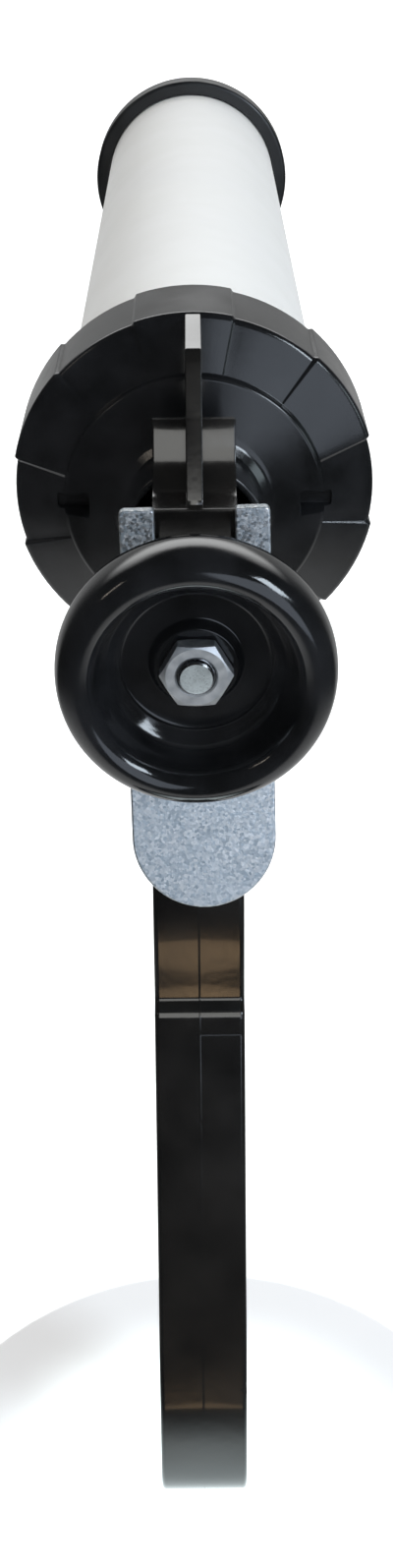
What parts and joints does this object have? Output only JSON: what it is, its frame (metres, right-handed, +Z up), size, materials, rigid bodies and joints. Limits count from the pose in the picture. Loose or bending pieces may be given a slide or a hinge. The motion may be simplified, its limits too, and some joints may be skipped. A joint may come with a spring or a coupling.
{
  "type": "caulking gun",
  "caption": "Hand-squeezed bulk caulking gun: round barrel with screw caps, push rod with piston and pull knob, cast frame handle, trigger and thumb release plate.",
  "frame": {"origin": "centre of the whole gun's box at rest; the barrel's axis lies 71.65 mm above it", "axes": "+Y along the barrel towards its mouth, +Z up and away from the handle, +X to the right seen from behind"},
  "size_m": [0.0684, 0.3768, 0.2134],
  "materials": {
    "white_enamel": "satin white enamel on drawn aluminium tube",
    "black_moulding": "gloss black moulded glass-filled nylon",
    "black_enamel": "gloss black enamel on die-cast aluminium",
    "zinc_plate": "bright zinc plate on pressed steel",
    "bright_steel": "drawn bright steel",
    "black_rubber": "moulded black rubber"
  },
  "bodies": {
    "handle": {"handle_frame": "black_enamel", "neck_nut": "zinc_plate", "neck_washer": "zinc_plate", "trigger_pin": "zinc_plate", "trigger_pin_clip": "bright_steel", "drive_spring": "bright_steel", "release_spring": "bright_steel"},
    "rear_cap": {"rear_cap": "black_moulding"},
    "barrel": {"barrel_tube": "white_enamel"},
    "front_cap": {"front_cap": "black_moulding"},
    "rod": {"push_rod": "bright_steel", "pull_knob": "black_moulding", "knob_nut": "zinc_plate", "piston_washer": "zinc_plate", "piston_rear_disc": "black_moulding", "piston_seal": "black_rubber", "piston_front_disc": "black_moulding", "piston_nut": "zinc_plate"},
    "drive_plates": {"drive_plate_front": "bright_steel", "drive_plate_rear": "bright_steel"},
    "trigger": {"trigger": "black_enamel"},
    "release_plate": {"release_plate": "zinc_plate"}
  },
  "joints": [
    {"name": "barrel_swivel", "type": "hinge", "parent": "handle", "child": "rear_cap", "pos_m": [0, -0.10855, 0.07165], "axis": [0, 1, 0], "continuous": true},
    {"name": "barrel_unscrew", "type": "slide", "parent": "rear_cap", "child": "barrel", "axis": [0, 1, 0], "range_m": [0, 0.022]},
    {"name": "front_cap_unscrew", "type": "slide", "parent": "barrel", "child": "front_cap", "axis": [0, 1, 0], "range_m": [0, 0.012]},
    {"name": "rod_slide", "type": "slide", "parent": "handle", "child": "rod", "axis": [0, 1, 0], "range_m": [-0.253, 0.005]},
    {"name": "trigger_pivot", "type": "hinge", "parent": "handle", "child": "trigger", "pos_m": [0, -0.13705, 0.04695], "axis": [-1, 0, 0], "range_deg": [0, 25], "stiffness_Nm_per_rad": 0.8, "springref_deg": -14.32},
    {"name": "drive_slide", "type": "slide", "parent": "handle", "child": "drive_plates", "axis": [0, 1, 0], "range_m": [0, 0.0051], "deforming": ["drive_spring"]},
    {"name": "release_tilt", "type": "hinge", "parent": "handle", "child": "release_plate", "pos_m": [0, -0.14565, 0.08065], "axis": [1, 0, 0], "range_deg": [0, 6], "stiffness_Nm_per_rad": 0.6, "springref_deg": -11.46, "deforming": ["release_spring"]}
  ],
  "couplings": [
    {"joint": "drive_slide", "follows": "trigger_pivot", "m_per_rad": 0.0113}
  ]
}
